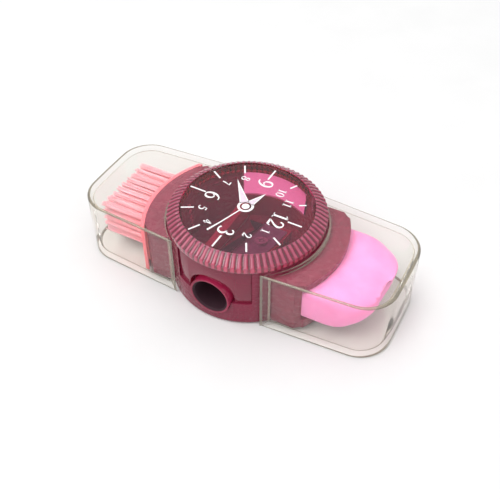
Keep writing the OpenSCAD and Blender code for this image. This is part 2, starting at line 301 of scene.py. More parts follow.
def eraser_vinyl():
    """Soft pink vinyl with a powdery skin, rubbed patches and graphite smudges."""
    mat, nodes, links, shader = blank_material("pink_eraser_vinyl")
    cloud = noise(nodes, links, 160, 4)
    powder = noise(nodes, links, 3800, 3)
    smear = noise(nodes, links, 330, 6, (0.5, 1.2, 1), 0.72)
    skin = ramp(nodes, links, cloud.outputs["Fac"], 0.32, 0.68, (0.86, 0.235, 0.50), (0.93, 0.30, 0.60))
    smudged = spread(nodes, links, smear.outputs["Fac"], 0.60, 0.82, 0.0, 0.22)
    links.new(tinge(nodes, links, smudged, skin, (0.42, 0.17, 0.27)), shader.inputs["Base Color"])
    links.new(spread(nodes, links, smear.outputs["Fac"], 0.3, 0.7, 0.42, 0.62), shader.inputs["Roughness"])
    soften(shader, 0.35, (1.0, 0.45, 0.6), 1.2 * MM)
    shader.inputs["IOR"].default_value = 1.42
    shader.inputs["Sheen Weight"].default_value = 0.15
    add_bump(nodes, links, shader, [powder.outputs["Fac"], smear.outputs["Fac"]], [0.18, 0.3], 0.04 * MM)
    return mat


def bristle_nylon():
    """Salmon nylon filament, paler towards its worn tips, with light passing through."""
    mat, nodes, links, shader = blank_material("salmon_bristle_nylon")
    place = nodes.new("ShaderNodeTexCoord")
    along = nodes.new("ShaderNodeSeparateXYZ")
    links.new(place.outputs["Object"], along.inputs["Vector"])
    streak = noise(nodes, links, 1400, 3, (0.08, 1, 1))
    tip = spread(nodes, links, along.outputs["X"], plate_low.x, tuft_low.x, 0.0, 0.75)
    dyed = ramp(nodes, links, streak.outputs["Fac"], 0.3, 0.7, (0.95, 0.24, 0.30), (1.0, 0.36, 0.40))
    links.new(tinge(nodes, links, tip, dyed, (1.0, 0.50, 0.56)), shader.inputs["Base Color"])
    links.new(spread(nodes, links, streak.outputs["Fac"], 0.3, 0.7, 0.28, 0.45), shader.inputs["Roughness"])
    soften(shader, 0.5, (1.0, 0.5, 0.5), 0.5 * MM)
    add_bump(nodes, links, shader, [streak.outputs["Fac"]], [0.15])
    return mat


def dial_ink(name, colour):
    """Pad-printed ink: a dense film with pinholes and a slightly uneven edge gloss."""
    mat, nodes, links, shader = blank_material(name)
    film = noise(nodes, links, 1800, 4)
    thin = tuple(0.86 * c for c in colour)
    links.new(ramp(nodes, links, film.outputs["Fac"], 0.28, 0.55, thin, colour), shader.inputs["Base Color"])
    links.new(spread(nodes, links, film.outputs["Fac"], 0.3, 0.7, 0.35, 0.55), shader.inputs["Roughness"])
    add_bump(nodes, links, shader, [film.outputs["Fac"]], [0.12])
    return mat


BURGUNDY = moulded_plastic("burgundy_moulded_plastic", (0.180, 0.014, 0.040), (0.225, 0.018, 0.050))
# the block's bore is painted near black: shade inside the bore, together with graphite dust
BLOCK = moulded_plastic("sharpener_block_plastic", (0.24, 0.012, 0.045), (0.33, 0.018, 0.065),
                        rough=(0.12, 0.22), graphite=(0.030, 0.006, 0.014))
SALMON = moulded_plastic("salmon_plate_plastic", (0.90, 0.16, 0.20), (0.98, 0.21, 0.25),
                         rough=(0.3, 0.45), glow=0.3)
TINTED = see_through_plastic("tinted_clear_plastic", (0.94, 0.10, 0.52), 800)
# the bezel and the front tongue are the lid's tinted plastic given darker surface colours: painted shade
BEZEL_WITH_PAINTED_SHADE = see_through_plastic("tinted_bezel_plastic", (0.92, 0.10, 0.52), 800, tint=(0.62, 0.10, 0.20),
                            rough=(0.05, 0.12), clear=0.45, gloss=0.6, painted_gap_shade=(0.20, 0.02, 0.05))
TONGUE_WITH_PAINTED_SHADE = see_through_plastic("tinted_tongue_plastic", (0.92, 0.10, 0.42), 700, tint=(0.34, 0.03, 0.08),
                             rough=(0.04, 0.1), clear=0.5)
CLEAR = see_through_plastic("clear_cap_plastic", (0.70, 0.60, 0.40), 30, tint=(0.985, 0.98, 0.965),
                            rough=(0.0, 0.03), scratch=0.03, ior=1.02, gloss=0.7)
# the edge material's grey-beige colour paints the shade that light bent at the caps' edges gives
CLEAR_EDGE_PAINTED_SHADE = see_through_plastic("clear_cap_edge_plastic", (0.62, 0.55, 0.30), 60, tint=(0.60, 0.54, 0.44),
                                 rough=(0.02, 0.08), clear=0.7, ior=1.02, gloss=1.0)
STEEL = brushed_steel("ground_blade_steel", (0.30, 0.29, 0.31), (0.35, 0.5), (1, 0.05, 1))
SCREW = brushed_steel("plated_screw_steel", (0.42, 0.40, 0.40), (0.28, 0.4), (1, 1, 0.2))
VINYL = eraser_vinyl()
NYLON = bristle_nylon()
WHITE_INK = dial_ink("white_dial_ink", (0.90, 0.89, 0.90))
LILAC_INK = dial_ink("lilac_hand_ink", (0.74, 0.62, 0.72))

# ---- making meshes ----

SHARP_ABOVE = 35  # degrees between faces that still shade as one on a rounded piece


def piece(name, points, faces, mat, smooth=True):
    mesh = bpy.data.meshes.new(name)
    mesh.from_pydata([tuple(p) for p in points], [], [tuple(f) for f in faces])
    mesh.materials.append(mat)
    mesh.validate()
    obj = bpy.data.objects.new(name, mesh)
    bpy.context.scene.collection.objects.link(obj)
    if smooth:
        mesh.shade_smooth()
    return obj


def settle(obj):
    """Turns the modifiers' result into the piece's own plain mesh."""
    seen = bpy.context.evaluated_depsgraph_get()
    mesh = bpy.data.meshes.new_from_object(obj.evaluated_get(seen), preserve_all_data_layers=True,
                                           depsgraph=seen)
    obj.modifiers.clear()
    obj.data = mesh
    return obj


def face_outwards(obj):
    shape = bmesh.new()
    shape.from_mesh(obj.data)
    bmesh.ops.remove_doubles(shape, verts=shape.verts, dist=1e-7)
    bmesh.ops.recalc_face_normals(shape, faces=shape.faces)
    shape.to_mesh(obj.data)
    shape.free()
    return obj


def smooth_below(obj, degrees):
    obj.data.shade_smooth()
    obj.data.set_sharp_from_angle(angle=math.radians(degrees))
    return obj


def rounded(obj, width, segments, degrees):
    """Rounds every edge sharper than degrees."""
    edge = obj.modifiers.new("rounded edges", "BEVEL")
    edge.width = width
    edge.segments = segments
    edge.limit_method = "ANGLE"
    edge.angle_limit = math.radians(degrees)
    edge.use_clamp_overlap = True
    edge.miter_outer = "MITER_ARC"
    settle(obj)
    return smooth_below(obj, SHARP_ABOVE)


def merged_copy(node, name, mat):
    """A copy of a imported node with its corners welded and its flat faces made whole."""
    obj = bpy.data.objects.new(name, frame["nodes"][node].data.copy())
    bpy.context.scene.collection.objects.link(obj)
    obj.data.materials.clear()
    obj.data.materials.append(mat)
    weld(obj)
    return obj


def weld(obj):
    """Joins corners that meet and makes flat areas one face each."""
    shape = bmesh.new()
    shape.from_mesh(obj.data)
    bmesh.ops.remove_doubles(shape, verts=shape.verts, dist=2e-6)
    bmesh.ops.dissolve_limit(shape, angle_limit=math.radians(0.3), verts=shape.verts, edges=shape.edges)
    shape.to_mesh(obj.data)
    shape.free()


def copy_of(nodes, name, mat, width, segments):
    """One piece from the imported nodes, joined where they meet, with its edges rounded."""
    obj = merged_copy(nodes[0], name, mat)
    for node in nodes[1:]:
        other = merged_copy(node, name + "_part", mat)
        joint = obj.modifiers.new("joined", "BOOLEAN")
        joint.operation = "UNION"
        joint.solver = "EXACT"
        joint.object = other
        settle(obj)
        bpy.data.objects.remove(other)
        weld(obj)
    for face in obj.data.polygons:
        face.material_index = 0
    return rounded(obj, width, segments, SHARP_ABOVE)


def finish_piece(obj, body, slot, *nodes):
    """Puts a piece on its body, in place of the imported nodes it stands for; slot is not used."""
    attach(obj, body)
    if nodes:
        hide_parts(*nodes)


# ---- node trees ----


class Tree:
    """A small Geometry Nodes tree with named inputs."""

    def __init__(self, name, inputs):
        self.tree = bpy.data.node_groups.new(name, "GeometryNodeTree")
        face = self.tree.interface
        face.new_socket("Geometry", in_out="INPUT", socket_type="NodeSocketGeometry")
        for label, kind in inputs:
            face.new_socket(label, in_out="INPUT", socket_type="NodeSocket" + kind)
        face.new_socket("Geometry", in_out="OUTPUT", socket_type="NodeSocketGeometry")
        self.input = self.tree.nodes.new("NodeGroupInput").outputs
        self.output = self.tree.nodes.new("NodeGroupOutput").inputs

    def add(self, kind, **plugs):
        node = self.tree.nodes.new(kind)
        for label, value in plugs.items():
            self.plug(node.inputs[label.replace("_", " ")], value)
        return node

    def plug(self, socket, value):
        if isinstance(value, bpy.types.NodeSocket):
            self.tree.links.new(value, socket)
        else:
            socket.default_value = value

    def math(self, operation, *values):
        node = self.tree.nodes.new("ShaderNodeMath")
        node.operation = operation
        for socket, value in zip(node.inputs, values):
            self.plug(socket, value)
        return node.outputs[0]

    def close(self, geometry, material):
        """Every tree ends in Realize Instances and Set Material."""
        real = self.add("GeometryNodeRealizeInstances", Geometry=geometry)
        painted = self.add("GeometryNodeSetMaterial", Geometry=real.outputs[0], Material=material)
        self.tree.links.new(painted.outputs[0], self.output["Geometry"])

    def apply(self, obj, **values):
        modifier = obj.modifiers.new(self.tree.name, "NODES")
        modifier.node_group = self.tree
        for item in self.tree.interface.items_tree:
            key = item.name.replace(" ", "_")
            if item.item_type == "SOCKET" and item.in_out == "INPUT" and key in values:
                modifier[item.identifier] = values[key]
        return settle(obj)


# ---- tinted lid ----

# Lid section in millimetres, from the lens's centre over the bezel and back underneath: radius, height
# from the bezel's top, and how far a rib pushes the point out and up
LID_SECTION = [
    (7.0, -0.25, 0, 0), (14.6, -0.25, 0, 0), (15.55, -0.25, 0, 0), (15.68, -0.24, 0, 0),
    (15.75, -0.14, 0, 0), (15.79, -0.05, 0, 0), (15.88, 0, 0, 0), (16.02, 0, 0, 0),
    (16.12, -0.04, 0, 0), (16.22, -0.15, 0.02, 0.05), (16.34, -0.25, 0.12, 0.19),
    (16.6, -0.45, 0.17, 0.25), (17.4, -1.02, 0.17, 0.25), (18.2, -1.58, 0.17, 0.25),
    (18.44, -1.76, 0.2, 0.27), (18.52, -1.84, 0.26, 0.25), (18.6, -1.87, 0.24, 0.2),
    (18.74, -1.88, 0.11, 0.1), (18.82, -1.93, 0.03, 0.04), (18.85, -2.02, 0, 0), (18.85, -2.6, 0, 0),
    (18.85, -3.05, 0, 0), (18.81, -3.17, 0, 0), (18.7, -3.22, 0, 0), (18.0, -3.25, 0, 0),
    (16.98, -3.25, 0, 0), (16.87, -3.3, 0, 0), (16.85, -3.42, 0, 0), (16.85, -5.0, 0, 0),
    (16.8, -5.11, 0, 0), (16.68, -5.15, 0, 0), (16.18, -5.15, 0, 0), (16.05, -5.11, 0, 0),
    (16.0, -5.0, 0, 0), (16.0, -1.62, 0, 0), (15.94, -1.49, 0, 0), (15.8, -1.45, 0, 0),
    (8.0, -1.45, 0, 0),
]
SECTION_R = 18.85  # radius that the section was drawn to
RIB_STEPS = (-0.5, -0.37, -0.31, -0.26, -0.12, 0.12, 0.26, 0.31, 0.37)  # cuts across one rib and its gaps
RIB_SHARE, FLANK_SHARE = 0.33, 0.12  # of a rib's step, the half width of a rib and the width of its flank
BAND_FOOT = -3.25  # height of the plain band's lower edge
TONGUE_HALF = 9.45  # half the width of a tongue, and of the gap in the skirt
SLOPE_R, SLOPE_FOOT = 15.9, -1.97  # the ribbed slope starts outside this radius and ends at this height
BAND_R = 18.4  # the plain band is outside this radius


def rib_tree():
    """Pushes a turned section outwards wherever a rib crosses it, at even steps round the Z axis."""
    t = Tree("grip_ribs", [("Rib Count", "Int"), ("Rib Share", "Float"), ("Flank Share", "Float"),
                           ("Material", "Material")])
    place = t.add("ShaderNodeSeparateXYZ", Vector=t.add("GeometryNodeInputPosition").outputs[0])
    angle = t.math("ARCTAN2", place.outputs["Y"], place.outputs["X"])
    turns = t.math("MULTIPLY", t.math("DIVIDE", angle, 2 * math.pi), t.input["Rib Count"])
    away = t.math("ABSOLUTE", t.math("SUBTRACT", turns, t.math("ROUND", turns)))
    inner = t.math("SUBTRACT", t.input["Rib Share"], t.input["Flank Share"])
    flank = t.add("ShaderNodeMapRange", Value=away, From_Min=inner, From_Max=t.input["Rib Share"],
                  To_Min=1.0, To_Max=0.0)
    flank.interpolation_type = "SMOOTHSTEP"
    reach = []
    for label in ("rib_out", "rib_up"):
        kept = t.add("GeometryNodeInputNamedAttribute", Name=label)
        reach.append(t.math("MULTIPLY", kept.outputs["Attribute"], flank.outputs["Result"]))
    push = t.add("ShaderNodeCombineXYZ", X=t.math("MULTIPLY", reach[0], t.math("COSINE", angle)),
                 Y=t.math("MULTIPLY", reach[0], t.math("SINE", angle)), Z=reach[1])
    moved = t.add("GeometryNodeSetPosition", Geometry=t.input["Geometry"], Offset=push.outputs[0])
    t.close(moved.outputs[0], t.input["Material"])
    return t


def turned_lid():
    """The lid without its tongues: its section turned round the Z axis, with grip ribs."""
    step = 2 * math.pi / RIB_COUNT
    angles = [(k + s) * step for k in range(RIB_COUNT) for s in RIB_STEPS]
    grow = BEZEL_R / (SECTION_R * MM)
    n, rows = len(angles), len(LID_SECTION)
    points, out, up = [], [], []
    for r, drop, push_out, push_up in LID_SECTION:
        for a in angles:
            # the skirt is left out between the tongues' sides
            open_side = abs(r * math.cos(a)) < TONGUE_HALF and drop < BAND_FOOT
            points.append((r * grow * MM * math.cos(a), r * grow * MM * math.sin(a),
                           BEZEL_TOP + (BAND_FOOT if open_side else drop) * MM))
            out.append(push_out * MM)
            up.append(push_up * MM)
    faces = [(j * n + i, (j + 1) * n + i, (j + 1) * n + (i + 1) % n, j * n + (i + 1) % n)
             for j in range(rows - 1) for i in range(n)]
    for row, order in ((0, 1), (rows - 1, -1)):
        centre = len(points)
        points.append((0, 0, BEZEL_TOP + LID_SECTION[row][1] * MM))
        out.append(0)
        up.append(0)
        for i in range(n):
            ring = (row * n + i, row * n + (i + 1) % n)
            faces.append((centre, *ring[::order]))
    obj = piece("lid_bezel_and_lens", points, faces, TINTED)
    for label, values in (("rib_out", out), ("rib_up", up)):
        obj.data.attributes.new(label, "FLOAT", "POINT").data.foreach_set("value", values)
    rib_tree().apply(obj, Rib_Count=RIB_COUNT, Rib_Share=RIB_SHARE, Flank_Share=FLANK_SHARE, Material=TINTED)
    face_outwards(obj)
    obj.data.materials.clear()
    obj.data.materials.append(TINTED)
    obj.data.materials.append(BEZEL_WITH_PAINTED_SHADE)
    # the ribbed slope and the plain band take the darker bezel copy, which carries painted shade
    for face in obj.data.polygons:
        c = face.center
        r = math.hypot(c.x, c.y)
        sloped = r > SLOPE_R * MM and c.z > BEZEL_TOP + SLOPE_FOOT * MM
        face.material_index = int(sloped or r > BAND_R * MM)
    return smooth_below(obj, 38)


TONGUE_STEPS = 60
NOTCH_STEPS = (0.9, 0.97, 0.99, 1.0)  # extra cuts where the collar's cut-out turns steep


def tongue(name, mat, turn, sill, notch_r=0.0):
    """Curved tongue under the bezel, closing a notch in the drum wall. notch_r cuts room for the collar."""
    inner, outer = 17.15 * MM, DRUM_R - 0.35 * MM
    top = RIM + 0.08 * MM
    reach = math.asin(TONGUE_HALF * MM / outer)
    angles = [-reach + 2 * reach * i / TONGUE_STEPS for i in range(TONGUE_STEPS + 1)]
    if notch_r:
        angles += [s * math.asin(notch_r * k / outer) for s in (-1, 1) for k in NOTCH_STEPS]
    angles = sorted(set(angles))
    points, faces = [], []
    for a in angles:
        x = outer * math.sin(a)
        low = sill
        if notch_r and abs(x) <= notch_r:
            low = max(sill, AXIS_Z + math.sqrt(max(0.0, notch_r ** 2 - x * x)))
        for r, z in ((outer, low), (outer, top), (inner, top), (inner, low)):
            points.append((r * math.sin(a) * turn, r * math.cos(a) * turn, z))
    for i in range(len(angles) - 1):
        for j in range(4):
            k = (j + 1) % 4
            faces.append((i * 4 + j, i * 4 + k, (i + 1) * 4 + k, (i + 1) * 4 + j))
    last = 4 * (len(angles) - 1)
    faces += [(3, 2, 1, 0), (last, last + 1, last + 2, last + 3)]
    return rounded(face_outwards(piece(name, points, faces, mat)), 0.12 * MM, 2, 40)


finish_piece(turned_lid(), "lid", "tinted_plastic", "lid")
# the front tongue takes the darker copy with painted shade; the rear tongue takes the plain tinted plastic
finish_piece(tongue("front_tongue", TONGUE_WITH_PAINTED_SHADE, -1, 7.0 * MM, 5.95 * MM), "lid", "tinted_plastic", "lid")
finish_piece(tongue("rear_tongue", TINTED, 1, 8.55 * MM), "lid", "tinted_plastic", "lid")

# ---- printed dial ----

DIAL_CENTRE = (-0.36, -0.26)  # the print sits a little off centre
DIAL_TURN = -1.0  # and a little off square, in degrees
INK = 0.03 * MM  # thickness of the print
INK_GAP = 0.004 * MM  # keeps the print just off the lens
HAND_START = 1.35  # where a hand leaves the hub, from the dial's centre
HAND_LINE = 0.26  # width of the white line round a hand's fill


def ink_shape(outlines, z):
    """Flat closed outlines, each a list of points, made into thin printed film at height z."""
    points, faces = [], []
    for ring in outlines:
        start, n = len(points), len(ring)
        points += [(x * MM, y * MM, z + INK) for x, y in ring] + [(x * MM, y * MM, z) for x, y in ring]
        faces.append(tuple(range(start, start + n)))
        faces.append(tuple(reversed(range(start + n, start + 2 * n))))
        faces += [(start + i, start + n + i, start + n + (i + 1) % n, start + (i + 1) % n) for i in range(n)]
    return points, faces


PATH_STEPS = 6


def smooth_path(knots):
    """Catmull-Rom curve through knots of any size."""
    k = np.array(knots, float)
    if len(k) < 3:
        return k
    ends = np.vstack([2 * k[0] - k[1], k, 2 * k[-1] - k[-2]])
    out = []
    for i in range(1, len(ends) - 2):
        a, b, c, d = ends[i - 1:i + 3]
        for s in np.linspace(0, 1, PATH_STEPS, endpoint=False):
            out.append(0.5 * (2 * b + (c - a) * s + (2 * a - 5 * b + 4 * c - d) * s ** 2
                              + (3 * b - a - 3 * c + d) * s ** 3))
    out.append(k[-1])
    return np.array(out)


def pen_stroke(knots, curved=True):
    """Outline of a stroke whose width changes along it, in a list of its own. A knot is x, y, width."""
    path = smooth_path(knots) if curved else np.array(knots, float)
    way = np.gradient(path[:, :2], axis=0)
    way /= np.maximum(np.linalg.norm(way, axis=1), 1e-9)[:, None]
    side = np.c_[-way[:, 1], way[:, 0]] * path[:, 2:3] / 2
    left, right = path[:, :2] + side, path[:, :2] - side
    return [list(map(tuple, np.vstack([left, right[::-1]])))]


# Numerals drawn as pen strokes in a box one high: x to the reader's right, y up, and stroke width
GLYPHS = {
    "0": [[(0.3, 1.0, 0.07), (0.12, 0.84, 0.11), (0.05, 0.5, 0.15), (0.12, 0.16, 0.11), (0.3, 0.0, 0.07)],
          [(0.3, 1.0, 0.07), (0.48, 0.84, 0.11), (0.55, 0.5, 0.15), (0.48, 0.16, 0.11), (0.3, 0.0, 0.07)]],
    "1": ["straight", [(0.32, 0.0, 0.14), (0.32, 1.0, 0.14)], [(0.34, 0.97, 0.07), (0.1, 0.84, 0.05)],
          [(0.12, 0.025, 0.055), (0.52, 0.025, 0.055)]],
    "2": [[(0.07, 0.72, 0.1), (0.13, 0.9, 0.1), (0.3, 0.99, 0.08), (0.48, 0.9, 0.13), (0.53, 0.72, 0.15),
           (0.43, 0.48, 0.12), (0.22, 0.22, 0.09), (0.07, 0.05, 0.07)],
          "straight", [(0.06, 0.055, 0.13), (0.52, 0.055, 0.13)], [(0.5, 0.06, 0.12), (0.6, 0.24, 0.04)]],
    "3": [[(0.07, 0.83, 0.1), (0.19, 0.97, 0.08), (0.37, 0.97, 0.11), (0.48, 0.8, 0.14), (0.42, 0.62, 0.11),
           (0.24, 0.54, 0.05)],
          [(0.24, 0.55, 0.05), (0.44, 0.49, 0.12), (0.55, 0.29, 0.15), (0.45, 0.07, 0.12), (0.25, 0.0, 0.09),
           (0.06, 0.08, 0.13)]],
    "4": ["straight", [(0.4, 1.0, 0.07), (0.05, 0.32, 0.06)], [(0.02, 0.31, 0.1), (0.6, 0.31, 0.1)],
          [(0.41, 0.0, 0.15), (0.41, 1.0, 0.15)]],
    "5": ["straight", [(0.16, 0.94, 0.12), (0.54, 0.94, 0.12)], [(0.18, 0.97, 0.06), (0.12, 0.55, 0.06)],
          "curved", [(0.11, 0.56, 0.06), (0.32, 0.62, 0.1), (0.52, 0.48, 0.14), (0.53, 0.22, 0.14),
                     (0.36, 0.03, 0.1), (0.2, 0.0, 0.08), (0.06, 0.07, 0.12)]],
    "6": [[(0.52, 0.95, 0.08), (0.33, 0.93, 0.08), (0.14, 0.7, 0.13), (0.08, 0.36, 0.15), (0.17, 0.09, 0.13),
           (0.34, 0.0, 0.08), (0.51, 0.1, 0.13), (0.56, 0.3, 0.14), (0.48, 0.52, 0.1), (0.33, 0.59, 0.07),
           (0.13, 0.44, 0.07)]],
    "7": ["straight", [(0.05, 0.93, 0.13), (0.55, 0.93, 0.13)], "curved",
          [(0.53, 0.92, 0.07), (0.38, 0.6, 0.09), (0.28, 0.3, 0.13), (0.25, 0.0, 0.16)]],
    "8": [[(0.3, 0.54, 0.09), (0.47, 0.66, 0.11), (0.5, 0.84, 0.11), (0.31, 1.0, 0.07), (0.12, 0.86, 0.12),
           (0.13, 0.7, 0.13), (0.3, 0.54, 0.12), (0.51, 0.38, 0.14), (0.54, 0.16, 0.12), (0.3, 0.0, 0.07),
           (0.07, 0.15, 0.11), (0.11, 0.38, 0.11), (0.3, 0.54, 0.09)]],
}
# 9 is 6 turned upside down
GLYPHS["9"] = [[(0.62 - x, 1.0 - y, w) for x, y, w in GLYPHS["6"][0]]]

# Each number: text, height in mm, and the dial position of its middle
NUMBERS = [
    ("12", 3.8, (8.4, -0.95)), ("3", 3.8, (-0.4, -9.55)), ("6", 3.8, (-8.95, -0.45)),
    ("9", 3.8, (-0.15, 9.15)), ("1", 2.1, (7.55, -5.55)), ("2", 2.1, (4.5, -8.6)),
    ("4", 2.1, (-5.5, -8.8)), ("5", 2.1, (-8.9, -5.25)), ("7", 2.1, (-8.4, 5.1)),
    ("8", 2.1, (-5.1, 8.65)), ("10", 2.1, (4.85, 7.8)), ("11", 2.1, (8.0, 5.2)),
]
# Hour, inner and outer end of its mark
MARKS = [
    (12, 11.0, 14.5), (1, 12.2, 14.95), (2, 12.1, 14.95), (3, 11.05, 15.0), (4, 12.0, 15.0),
    (5, 12.0, 15.0), (6, 10.8, 15.05), (7, 12.0, 15.0), (8, 12.1, 15.0), (9, 11.0, 14.95),
    (10, 12.35, 14.3), (11, 12.4, 14.1),
]
MARK_WIDTH = 0.4
DIGIT_PITCH, DIGIT_WIDTH = 0.66, 0.6  # shares of a numeral's height
SMALL_BELOW, SMALL_BOLD = 3, 1.15  # numerals lower than this have strokes this much bolder


def numeral_strokes():
    shapes = []
    for text, height, (cx, cy) in NUMBERS:
        bold = SMALL_BOLD if height < SMALL_BELOW else 1.0
        for place, digit in enumerate(text):
            across = (place - len(text) / 2) * DIGIT_PITCH + (DIGIT_PITCH - DIGIT_WIDTH) / 2
            curved = True
            for stroke in GLYPHS[digit]:
                if isinstance(stroke, str):
                    curved = stroke == "curved"
                    continue
                knots = [(cx + (y - 0.5) * height, cy - (across + x) * height, w * bold * height)
                         for x, y, w in stroke]
                shapes += pen_stroke(knots, curved)
    return shapes


def around(radius, steps):
    """Circle about the dial's centre."""
    return [(DIAL_CENTRE[0] + radius * math.cos(2 * math.pi * i / steps),
             DIAL_CENTRE[1] + radius * math.sin(2 * math.pi * i / steps)) for i in range(steps)]


def ring_quads(inner, outer, steps=48):
    a, b = around(inner, steps), around(outer, steps)
    return [[b[i], b[(i + 1) % steps], a[(i + 1) % steps], a[i]] for i in range(steps)]


def hand(tip, root_width):
    """White outline and lilac fill of one tapering hand that points from the hub to its tip."""
    start, inset = HAND_START, HAND_LINE
    c = np.array(DIAL_CENTRE)
    way = np.array(tip) - c
    length = np.linalg.norm(way)
    way /= length
    side = np.array((-way[1], way[0]))
    white = [c + way * start + side * root_width / 2,
             c + way * start - side * root_width / 2,
             c + way * length]
    tip_back = inset * length / root_width * 2
    fill = [c + way * (start + 0.1) + side * (root_width / 2 - inset),
            c + way * (start + 0.1) - side * (root_width / 2 - inset),
            c + way * (length - tip_back)]
    return [tuple(p) for p in white], [tuple(p) for p in fill]


def counter_clockwise(ring):
    area = sum(a[0] * b[1] - b[0] * a[1] for a, b in zip(ring, ring[1:] + ring[:1]))
    return ring if area > 0 else ring[::-1]


def print_dial():
    """Prints the hour marks, numerals and hands on the lens, in layers that rise over each other."""
    marks = []
    for hour, near, far in MARKS:
        a = math.radians(-30 * hour + DIAL_TURN)
        way = np.array((math.cos(a), math.sin(a)))
        side = np.array((-math.sin(a), math.cos(a)))
        c, w = np.array(DIAL_CENTRE), MARK_WIDTH / 2
        marks.append([tuple(c + way * near - side * w), tuple(c + way * far - side * w),
                      tuple(c + way * far + side * w), tuple(c + way * near + side * w)])
    long_white, long_fill = hand((-6.8, 7.55), 2.2)
    short_white, short_fill = hand((1.85, 5.9), 2.0)
    thin = pen_stroke([(DIAL_CENTRE[0] - 0.5, DIAL_CENTRE[1] - 1.5, 0.3), (-2.9, -7.6, 0.34),
                       (-4.3, -11.2, 0.5)], False)
    # name, outlines, height above the lens in ink thicknesses, ink
    layers = [
        ("dial_marks_and_numerals", [counter_clockwise(s) for s in marks + numeral_strokes() + thin],
         0.0, WHITE_INK),
        ("dial_hands", [counter_clockwise(s) for s in (long_white, short_white)] + ring_quads(1.36, 1.95),
         0.3, WHITE_INK),
        ("dial_hand_fills", [counter_clockwise(s) for s in (long_fill, short_fill)], 1.4, LILAC_INK),
        ("dial_hub", [around(0.92, 32)], 0.3, WHITE_INK),
    ]
    for name, outlines, lift, mat in layers:
        points, faces = ink_shape(outlines, LENS_TOP + INK_GAP + lift * INK)
        finish_piece(piece(name, points, faces, mat, smooth=False), "lid", "tinted_plastic")


print_dial()

# ---- drum and necks, block, blade, screw and brush plate ----

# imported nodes, name, material, width of the rounded edges, steps across them, material slot
KEPT_SHAPES = [
    (["housing", "inlet_sill"], "drum_and_necks", BURGUNDY, 0.16, 2, "body_plastic"),
    (["sharpener_block"], "sharpener_insert", BLOCK, 0.12, 2, "block_plastic"),
    (["blade"], "ground_blade", STEEL, 0.04, 1, "blade_steel"),
    (["blade_screw"], "cross_head_screw", SCREW, 0.08, 2, "screw_steel"),
    (["brush_plate"], "brush_plate_moulding", SALMON, 0.15, 2, "brush_plastic"),
]
for nodes, name, mat, width, segments, slot in KEPT_SHAPES:
    finish_piece(copy_of(nodes, name, mat, width * MM, segments), "root", slot, *nodes)

# ---- bristles ----

TUFT_COLUMNS = 9
TUFT_ROWS = 5
FILAMENTS = 30  # in a tuft
FILAMENT_SEED = 7
GOLDEN_ANGLE = 2.39996  # spreads them evenly over a tuft
FULL_TURN = 6.28


def tuft_tree():
    """Bundles of filaments on a grid of tufts, each filament a little off straight and off length."""
    t = Tree("bristle_tufts", [("Columns", "Int"), ("Rows", "Int"), ("Width", "Float"), ("Height", "Float"),
                               ("Length", "Float"), ("Filaments", "Int"), ("Tuft Radius", "Float"),
                               ("Filament Radius", "Float"), ("Seed", "Int"), ("Material", "Material")])
    grid = t.add("GeometryNodeMeshGrid", Size_X=t.input["Width"], Size_Y=t.input["Height"],
                 Vertices_X=t.input["Columns"], Vertices_Y=t.input["Rows"])
    tufts = t.add("GeometryNodeMeshToPoints", Mesh=grid.outputs["Mesh"])
    many = t.add("GeometryNodeDuplicateElements", Geometry=tufts.outputs["Points"],
                 Amount=t.input["Filaments"])
    many.domain = "POINT"

    def chance(low, high, seed):
        node = t.add("FunctionNodeRandomValue", Seed=t.math("ADD", t.input["Seed"], seed))
        node.data_type = "FLOAT"
        t.plug(node.inputs[2], low)
        t.plug(node.inputs[3], high)
        return node.outputs[1]

    turn = t.math("MULTIPLY", many.outputs["Duplicate Index"], GOLDEN_ANGLE)
    share = t.math("SQRT", t.math("DIVIDE", t.math("ADD", many.outputs["Duplicate Index"], 0.5),
                                  t.input["Filaments"]))
    off = t.math("MULTIPLY", share, t.input["Tuft Radius"])
    shift = t.add("ShaderNodeCombineXYZ", X=t.math("MULTIPLY", off, t.math("COSINE", turn)),
                  Y=t.math("MULTIPLY", off, t.math("SINE", turn)))
    spots = t.add("GeometryNodeSetPosition", Geometry=many.outputs["Geometry"], Offset=shift.outputs[0])
    worn = t.math("MULTIPLY", t.input["Filament Radius"], 0.72)
    hair = t.add("GeometryNodeMeshCone", Vertices=6, Side_Segments=5, Radius_Top=worn,
                 Radius_Bottom=t.input["Filament Radius"], Depth=t.input["Length"])
    tilt = t.add("ShaderNodeCombineXYZ", X=chance(-0.008, 0.008, 1), Y=chance(-0.010, 0.010, 2),
                 Z=chance(0.0, FULL_TURN, 3))
    size = t.add("ShaderNodeCombineXYZ", X=1.0, Y=1.0, Z=chance(0.93, 1.0, 4))
    laid = t.add("GeometryNodeInstanceOnPoints", Points=spots.outputs[0], Instance=hair.outputs["Mesh"],
                 Rotation=tilt.outputs[0], Scale=size.outputs[0])
    real = t.add("GeometryNodeRealizeInstances", Geometry=laid.outputs[0])
    spin = t.add("GeometryNodeTransform", Geometry=real.outputs[0])
    spin.inputs["Rotation"].default_value = (0, -math.pi / 2, 0)
    turned = t.add("GeometryNodeTransform", Geometry=spin.outputs[0])
    turned.inputs["Rotation"].default_value = (math.pi / 2, 0, 0)
    soft = t.add("GeometryNodeSetShadeSmooth", Geometry=turned.outputs[0])
    t.close(soft.outputs[0], t.input["Material"])
    return t


